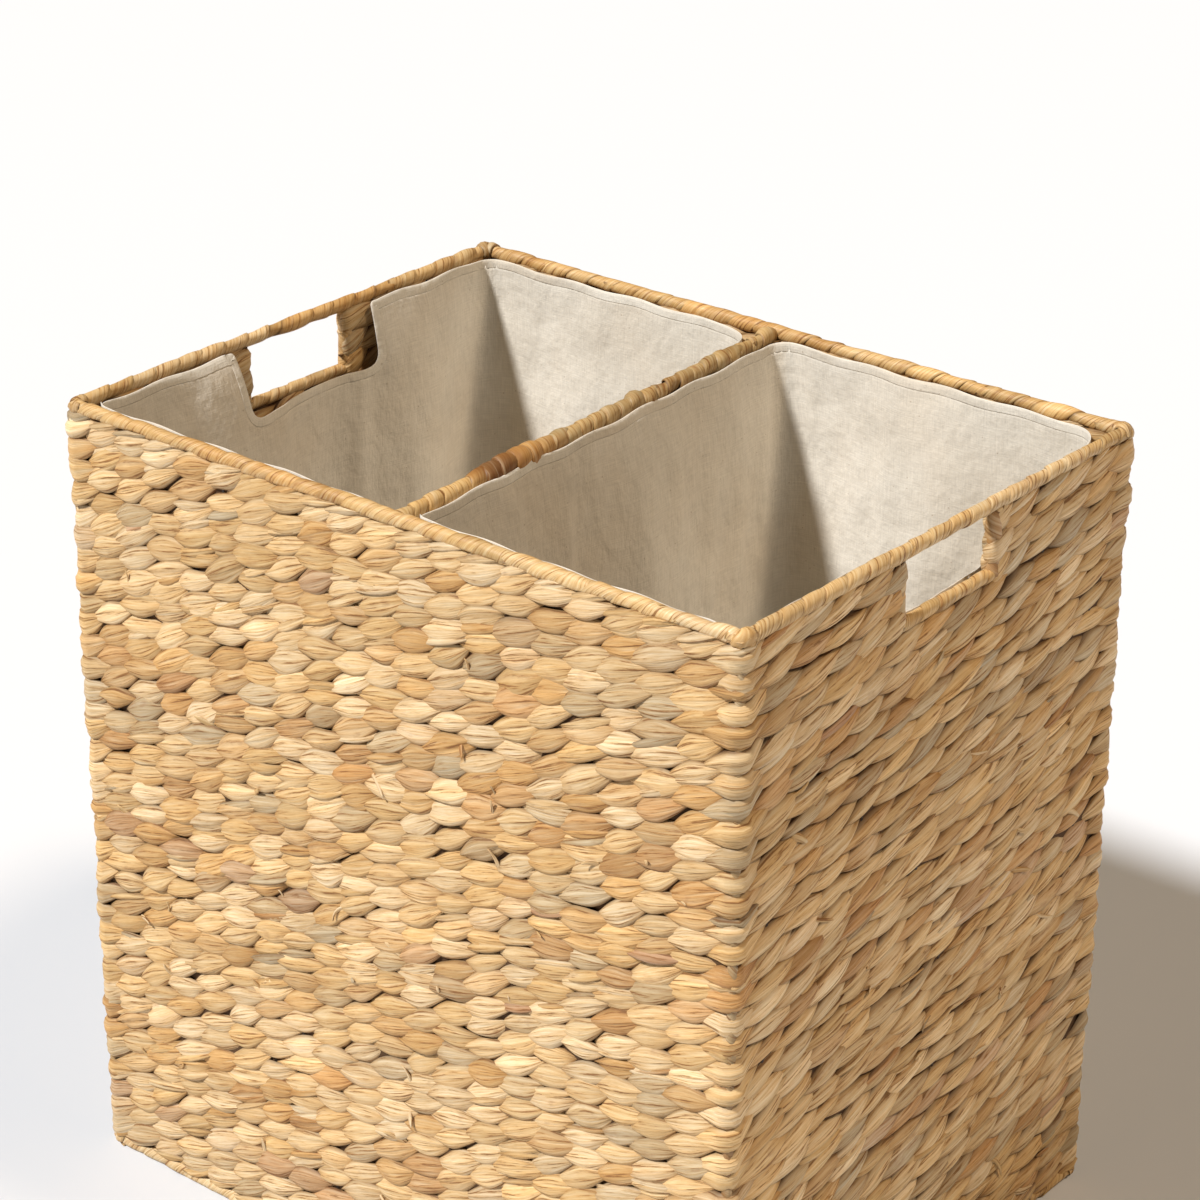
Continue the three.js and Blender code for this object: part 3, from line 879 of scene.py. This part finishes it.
def rounded_line(key, radius, step):
    """An open line through key points with rounded corners, as points at least 0.1 mm apart."""
    key = np.array(key, float)
    points = [key[0]]

    def run_to(end):
        """Adds points straight on to `end`, each a growing share of what is left."""
        steps = max(1, int(np.linalg.norm(end - points[-1]) / step))
        for share in np.linspace(0, 1, steps + 1)[1:]:
            points.append(points[-1] + (end - points[-1]) * share)

    for before, corner, after in zip(key, key[1:], key[2:]):
        far_before, far_after = np.linalg.norm(before - corner), np.linalg.norm(after - corner)
        cut = min(radius, far_before / 2, far_after / 2)
        start = corner + (before - corner) / far_before * cut
        end = corner + (after - corner) / far_after * cut
        run_to(start)
        for t in np.linspace(0, 1, 6)[1:]:
            points.append((1 - t) ** 2 * start + 2 * t * (1 - t) * corner + t**2 * end)
    run_to(key[-1])
    points = np.array(points)
    apart = np.linalg.norm(np.diff(points, axis=0), axis=1) > 0.1 * MM
    return points[np.append(True, apart)]


def floor_rings(liner, foot_line, normal):
    """Rings of points inwards from the foot of the wall: a rounding, then the floor to near its middle."""
    rings = []
    for angle in np.linspace(0, math.pi / 2, FOOT_RINGS + 1)[1:]:
        inwards = FOOT_RADIUS * (1 - math.cos(angle))
        ring = foot_line.copy()
        ring[:, :2] -= normal * inwards
        ring[:, 2] = liner.floor_z + FOOT_RADIUS * (1 - math.sin(angle))
        rings.append(ring)
    middle = np.append(foot_line[:, :2].mean(0), liner.floor_z)
    last = rings[-1]
    for shrink in FLOOR_RINGS:
        ring = middle + (last - middle) * shrink
        waves = wander(liner.seed + 5, ring[:, 0], ring[:, 1], 0.5, most=4, rise=8) + 1
        ring[:, 2] = liner.floor_z + 2 * MM * waves * (1 - shrink)
        rings.append(ring)
    return rings


def liner_cloth(liner):
    """The bag itself: wall, rounded foot and floor, as one sheet that stops under the hem."""
    total = liner.loop.length
    columns = 2 * round(total / CLOTH_CELL / 2)
    p = np.arange(columns) * total / columns
    wall_rows = round((liner.top_z - liner.floor_z - FOOT_RADIUS) / CLOTH_CELL)
    share = np.linspace(0, 1, wall_rows)[:, None]
    top = liner.edge_z(p)[None] - 4 * MM
    z = top + (liner.floor_z + FOOT_RADIUS - top) * share
    spread = np.broadcast_to(p[None], z.shape)
    wall = liner.at(spread, z)
    points = np.concatenate([wall, floor_rings(liner, wall[-1], liner.loop.at(p)[1])])
    travel = np.cumsum(np.linalg.norm(np.diff(points, axis=0, prepend=points[:1]), axis=-1).mean(1))
    cloth = np.stack(np.broadcast_arrays(p[None], travel[:, None], 0.0), -1)
    floor_rows = slice(wall_rows + FOOT_RINGS, None)
    cloth[floor_rows] = points[floor_rows] * (1, 1, 0) + (0, 3, 0)
    index = np.arange(len(points) * columns).reshape(-1, columns)
    right = np.roll(index, -1, axis=1)
    quads = np.stack([index[:-1], index[1:], right[1:], right[:-1]], -1)
    half = columns // 2
    near, far = index[-1, :half], index[-1, half:][::-1]
    middle_strip = np.stack([near[:-1], far[:-1], far[1:], near[1:]], -1)
    line = liner.outline()
    line = line + across_line(line, total) * HEM_WIDTH / 2
    beyond = total + CLOTH_CELL
    edge = np.concatenate([line, [(beyond, line[-1, 1]), (beyond, 0), (-CLOTH_CELL, 0)]])
    edge[0, 0] = -CLOTH_CELL
    kept = np.ones(quads.shape[:2], bool)
    kept[: len(z) - 1] = is_inside(spread[:-1] + CLOTH_CELL / 2, (z[:-1] + z[1:]) / 2, edge)
    quads = np.concatenate([quads[kept].reshape(-1, 4), middle_strip])
    return points.reshape(-1, 3), quads[:, ::-1], {"cloth": cloth.reshape(-1, 3)}


def across_line(line, total):
    """Unit directions from the liner's edge into its cloth, for an edge that closes after `total`."""
    step = np.roll(line, -1, axis=0) - np.roll(line, 1, axis=0)
    step[:, 0] = (step[:, 0] + total / 2) % total - total / 2
    step /= np.linalg.norm(step, axis=1, keepdims=True)
    return np.stack([step[:, 1], -step[:, 0]], -1)


def hem_band(liner):
    """The folded hem along the whole edge, a flat closed band with a stitched groove."""
    line = liner.outline()
    down = across_line(line, liner.loop.length)
    travel = np.cumsum(np.linalg.norm(np.diff(line, axis=0, prepend=line[:1]), axis=1))
    profile = np.array([
        (0.0, 0.1), (0.06, 0.5), (0.3, 0.8), (0.65, 0.75), (0.80, 0.68), (0.92, 0.65), (1.0, 0.58),
        (1.0, -0.3), (0.5, -0.4), (0.05, -0.3)])
    puckers = np.sin(TURN * travel / (7 * MM))[:, None] * np.sin(TURN * travel / (31 * MM))[:, None]
    flat = line[:, None] + down[:, None] * (profile[None, :, 0] * HEM_WIDTH)[..., None]
    inwards = profile[None, :, 1] * MM * (1 + 0.18 * puckers)
    points = liner.at(flat[..., 0], flat[..., 1], inwards)
    rows, columns = points.shape[:2]
    index = np.arange(rows * columns).reshape(rows, columns)
    below = np.roll(index, -1, axis=0)
    quads = np.stack([index, np.roll(index, -1, axis=1), np.roll(below, -1, axis=1), below], -1)
    cloth = np.stack(np.broadcast_arrays(travel[:, None], profile[None, :, 0] * HEM_WIDTH, 1.0), -1)
    return points.reshape(-1, 3), quads.reshape(-1, 4), {"cloth": cloth.reshape(-1, 3)}


def add_liner(name, side):
    liner = Liner(name, side)
    panels = [f"{name}_{part}_panel" for part in ("front", "outer", "back", "divider", "bottom")]
    points, quads, values = liner_cloth(liner)
    bag = add_mesh(f"{name}_cloth", points, quads, COTTON, values)
    thicken = bag.modifiers.new("thickness", "SOLIDIFY")
    thicken.thickness = 0.8 * MM
    thicken.offset = 0
    place_on(bag, name, "cotton_liner", *panels)
    points, quads, values = hem_band(liner)
    hem = add_mesh(f"{name}_hem", points, quads, COTTON, values)
    place_on(hem, name, "cotton_liner")


# ---------------- materials


def new_material(name):
    material = bpy.data.materials.new(name)
    material.use_nodes = True
    return material, material.node_tree, material.node_tree.nodes["Principled BSDF"]


def set_inputs(tree, made, inputs):
    """Gives each named input of a node a value, or the socket that feeds it."""
    for key, value in inputs.items():
        if isinstance(value, bpy.types.NodeSocket):
            tree.links.new(value, made.inputs[key])
        else:
            made.inputs[key].default_value = value


def node(tree, kind, inputs=None, **settings):
    made = tree.nodes.new(kind)
    for key, value in settings.items():
        setattr(made, key, value)
    set_inputs(tree, made, inputs or {})
    return made


def stretched_noise(tree, vector, scale, detail=3.0, roughness=0.55):
    """Noise over a vector stretched by a scale for each axis."""
    spread = node(tree, "ShaderNodeVectorMath", {0: vector, 1: scale}, operation="MULTIPLY")
    noise = node(tree, "ShaderNodeTexNoise", {
        "Vector": spread.outputs[0], "Scale": 1.0, "Detail": detail, "Roughness": roughness})
    return noise.outputs["Fac"]


def ranged(tree, value, low, high, to_low, to_high):
    """A value mapped from one range to another, and held at its ends."""
    made = node(tree, "ShaderNodeMapRange", {
        "Value": value, "From Min": low, "From Max": high, "To Min": to_low, "To Max": to_high})
    return made.outputs["Result"]


def mixed(tree, factor, first, second, blend="MIX"):
    """Two colours mixed. A mix node's sockets 6 and 7 take its colours, and its output 2 gives one."""
    inputs = {0: factor, 6: first, 7: second}
    return node(tree, "ShaderNodeMix", inputs, data_type="RGBA", blend_type=blend).outputs[2]


def paint(red, green, blue):
    """An sRGB colour of 0 to 255 as a colour socket's value."""
    return (*linear(red, green, blue), 1.0)


def bumped(tree, height, distance, strength, normal=None):
    inputs = {"Height": height, "Distance": distance, "Strength": strength}
    if normal is not None:
        inputs["Normal"] = normal
    return node(tree, "ShaderNodeBump", inputs).outputs["Normal"]


def hyacinth_material(name, stain, roughness, relief):
    """Dried hyacinth leaf: fibres along the strand, brown stains, and painted shade in the creases at its
    edges.

    relief is the height of the fibres' bump.
    """
    material, tree, shader = new_material(name)
    fibre = node(tree, "ShaderNodeAttribute", attribute_name="fibre").outputs["Vector"]
    tone = node(tree, "ShaderNodeAttribute", attribute_name="tone")
    fine = stretched_noise(tree, fibre, (30, 540, 1), detail=5, roughness=0.65)
    broad = stretched_noise(tree, fibre, (22, 260, 1), detail=2)
    patch = stretched_noise(tree, fibre, (55, 120, 1.7), detail=3)
    depth = ranged(tree, fine, 0.35, 0.65, 0.0, 1.0)
    shade = mixed(tree, depth, (0.80, 0.64, 0.42, 1), (1.12, 1.18, 1.30, 1))
    streaked = mixed(tree, 1.0, tone.outputs["Color"], shade, "MULTIPLY")
    pale = ranged(tree, broad, 0.55, 0.75, 0.0, 0.35)
    streaked = mixed(tree, pale, streaked, paint(226, 207, 172))
    crack = ranged(tree, fine, 0.37, 0.43, 0.8, 0.0)
    streaked = mixed(tree, crack, streaked, paint(124, 80, 42))
    brown = ranged(tree, patch, 0.62, 0.80, 0.0, stain)
    streaked = mixed(tree, brown, streaked, paint(150, 100, 62))
    # painted shade: the crease value in the tone's alpha darkens the colour towards a dark brown
    crease = ranged(tree, tone.outputs["Alpha"], 0.2, 1.0, 0.92, 0.0)
    streaked = mixed(tree, crease, streaked, paint(76, 46, 20))
    coarse = bumped(tree, broad, 1.8 * relief, 0.7)
    set_inputs(tree, shader, {
        "Base Color": streaked,
        "Roughness": ranged(tree, fine, 0.3, 0.7, roughness + 0.12, roughness - 0.08),
        "Normal": bumped(tree, fine, relief, 0.8, coarse),
        "Specular IOR Level": 0.35,
    })
    return material


def core_material():
    """The shaded strands deep inside a wall."""
    material, tree, shader = new_material("hyacinth_core")
    place = node(tree, "ShaderNodeTexCoord").outputs["Object"]
    noise = stretched_noise(tree, place, (220, 220, 220))
    # painted shade: dark browns for the gaps between stitches
    dark = mixed(tree, noise, paint(58, 38, 20), paint(96, 66, 36))
    set_inputs(tree, shader, {"Base Color": dark, "Roughness": 0.9})
    return material


def cotton_material():
    """Unbleached plain-weave cotton with slubs, flecks and soft creases."""
    material, tree, shader = new_material("cotton")
    cloth = node(tree, "ShaderNodeAttribute", attribute_name="cloth").outputs["Vector"]
    warp = stretched_noise(tree, cloth, (1250, 55, 1), detail=2)
    weft = stretched_noise(tree, cloth, (55, 1250, 1), detail=2)
    threads = node(tree, "ShaderNodeMath", {0: warp, 1: weft}, operation="ADD").outputs[0]
    shade = ranged(tree, threads, 0.75, 1.25, 0.90, 1.07)
    tint = ranged(tree, stretched_noise(tree, cloth, (14, 9, 1), detail=5), 0.35, 0.65, 0.0, 1.0)
    base = mixed(tree, tint, paint(214, 206, 192), paint(225, 218, 205))
    cloud = ranged(tree, stretched_noise(tree, cloth, (7, 5, 1), detail=3), 0.45, 0.7, 0.0, 0.5)
    base = mixed(tree, cloud, base, paint(199, 182, 158))
    base = mixed(tree, 1.0, base, shade, "MULTIPLY")
    fleck = node(tree, "ShaderNodeTexVoronoi", {"Vector": cloth, "Scale": 260.0})
    near = ranged(tree, fleck.outputs["Distance"], 0.08, 0.2, 0.45, 0.0)
    chosen = node(tree, "ShaderNodeSeparateColor", {"Color": fleck.outputs["Color"]}).outputs["Red"]
    some = ranged(tree, chosen, 0.90, 0.93, 0.0, 1.0)
    spots = node(tree, "ShaderNodeMath", {0: near, 1: some}, operation="MULTIPLY").outputs[0]
    base = mixed(tree, spots, base, paint(128, 96, 62))
    creases = stretched_noise(tree, cloth, (16, 11, 1), detail=6, roughness=0.5)
    soft = bumped(tree, creases, 18 * MM, 0.65)
    set_inputs(tree, shader, {
        "Base Color": base,
        "Normal": bumped(tree, threads, 0.25 * MM, 0.6, soft),
        "Roughness": 0.92,
        "Specular IOR Level": 0.2,
        "Sheen Weight": 0.15,
    })
    return material


def steel_material():
    """Dark brown painted rod, a little uneven."""
    material, tree, shader = new_material("painted_steel")
    place = node(tree, "ShaderNodeTexCoord").outputs["Object"]
    noise = stretched_noise(tree, place, (140, 140, 140), detail=4)
    set_inputs(tree, shader, {
        "Base Color": mixed(tree, noise, paint(44, 34, 26), paint(68, 52, 38)),
        "Roughness": ranged(tree, noise, 0.3, 0.7, 0.35, 0.6),
        "Metallic": 0.3,
    })
    return material


def floor_material():
    material, tree, shader = new_material("pale_floor")
    set_inputs(tree, shader, {"Base Color": (0.69, 0.71, 0.745, 1), "Roughness": 0.9})
    return material


# ---------------- stage, light and camera

FLOOR_HALF_WIDTH = 9
SENSOR_WIDTH = 36                # millimetres, as is the focal length
FOCAL_LENGTH = 3362.9 / 1200 * SENSOR_WIDTH
CAMERA_DISTANCE = 2.349
CAMERA_SHIFT_UP = -0.1271        # of the point it looks at, from the middle of the rim
CAMERA_SHIFT_RIGHT = 0.0021


def add_floor():
    corners = [(x, y, 0) for x, y in rectangle(FLOOR_HALF_WIDTH, FLOOR_HALF_WIDTH)]
    floor = add_mesh("floor", np.array(corners), np.array([(0, 1, 2, 3)]), floor_material())


def direction(azimuth, elevation):
    """The unit vector towards angles in degrees. Azimuth 0 is in front and 90 to the right."""
    a, e = math.radians(azimuth), math.radians(elevation)
    return Vector((math.sin(a) * math.cos(e), -math.cos(a) * math.cos(e), math.sin(e)))


def add_sun(name, azimuth, elevation, strength, softness, tint):
    """A distant soft light, whose softness is its width in degrees."""
    data = bpy.data.lights.new(name, "SUN")
    data.color = tint
    data.energy = strength
    data.angle = math.radians(softness)
    light = bpy.data.objects.new(name, data)
    light.rotation_euler = direction(azimuth, elevation).to_track_quat("Z", "Y").to_euler()
    bpy.context.scene.collection.objects.link(light)


def add_lights():
    add_sun("key", azimuth=-24, elevation=50, strength=4.35, softness=6, tint=(1, 1, 1))
    add_sun("side", azimuth=110, elevation=58, strength=1.4, softness=10, tint=(1, 0.81, 0.60))
    world = bpy.data.worlds.new("studio")
    world.use_nodes = True
    background = world.node_tree.nodes["Background"]
    background.inputs["Color"].default_value = (1, 0.85, 0.68, 1)
    background.inputs["Strength"].default_value = 0.06
    bpy.context.scene.world = world


def add_camera():
    """A long lens above the front right corner, aimed below the rim, so that the foot is out of view."""
    azimuth, elevation, roll = 39.32, 24.94, math.radians(0.455)
    back = direction(azimuth, elevation)
    right = direction(azimuth + 90, 0)
    up = back.cross(right)
    right, up = (right * math.cos(roll) + up * math.sin(roll), up * math.cos(roll) - right * math.sin(roll))
    aim = Vector((0, 0, RIM_Z)) + up * CAMERA_SHIFT_UP + right * CAMERA_SHIFT_RIGHT
    data = bpy.data.cameras.new("camera")
    data.sensor_width = SENSOR_WIDTH
    data.lens = FOCAL_LENGTH
    camera = bpy.data.objects.new("camera", data)
    place = Matrix((right, up, back)).transposed().to_4x4()
    place.translation = aim + back * CAMERA_DISTANCE
    camera.matrix_world = place
    bpy.context.scene.collection.objects.link(camera)
    bpy.context.scene.camera = camera


# ---------------- the basket

HYACINTH = hyacinth_material("hyacinth_strand", stain=0.55, roughness=0.54, relief=0.9 * MM)
HYACINTH_STRIP = hyacinth_material("hyacinth_strip", stain=0.75, roughness=0.48, relief=0.3 * MM)
CORE = core_material()
COTTON = cotton_material()
STEEL = steel_material()

for wall in range(len(WALLS)):
    add_wall_outside(wall)
    add_wall_inside(wall)
    add_wall_core(wall)
    add_loose_ends(wall, count=34)
add_post_turns()
add_bottom()
add_edge_wraps()
add_corner_sleeves()
add_divider_wrap()
add_handle_wraps()
add_liner("left_liner", -1)
add_liner("right_liner", 1)

for name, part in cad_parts.items():
    if "frame" in name or name.endswith(("corner_post", "divider_rod", "bottom_grid")):
        for material_slot in part.material_slots:
            material_slot.link = "OBJECT"
            material_slot.material = STEEL

add_floor()
add_lights()
add_camera()
bpy.context.scene.view_settings.view_transform = "Standard"
